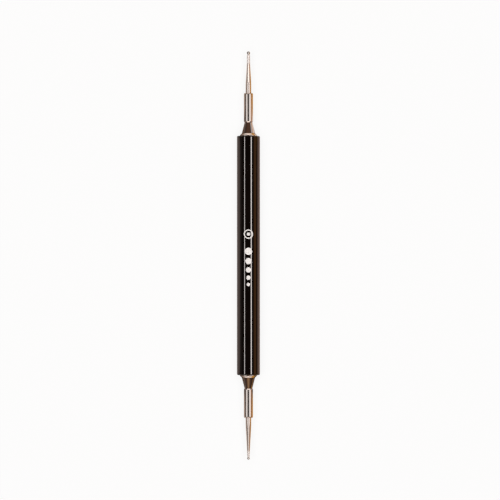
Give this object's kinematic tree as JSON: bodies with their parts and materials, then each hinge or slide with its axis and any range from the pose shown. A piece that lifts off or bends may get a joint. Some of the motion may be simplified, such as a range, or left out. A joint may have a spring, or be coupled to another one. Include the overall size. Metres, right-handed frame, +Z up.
{
  "type": "embossing stylus",
  "caption": "Double-ended embossing stylus: a slim round black handle with a stepped, tapering metal tip at either end, each tip finished with a small polished ball.",
  "frame": {"origin": "on the axis of the tool, halfway along the handle, which is also halfway along the tool", "axes": "+X along the tool towards the large ball, +Z up with the tool lying on a table"},
  "size_m": [0.142, 0.008, 0.008],
  "materials": {
    "black_lacquer": "gloss",
    "plated_brass": "polished",
    "plated_steel": "polished",
    "polished_ball": "polished",
    "cured_glue": "satin"
  },
  "bodies": {
    "root": {"handle_tube": "black_lacquer", "large_tip_collar": "plated_brass", "large_tip_glue_rings": "cured_glue", "large_tip_sleeve": "plated_brass", "large_tip_needle": "plated_steel", "large_tip_ball": "polished_ball", "small_tip_collar": "plated_brass", "small_tip_glue_rings": "cured_glue", "small_tip_sleeve": "plated_brass", "small_tip_needle": "plated_steel", "small_tip_ball": "polished_ball"}
  },
  "joints": []
}
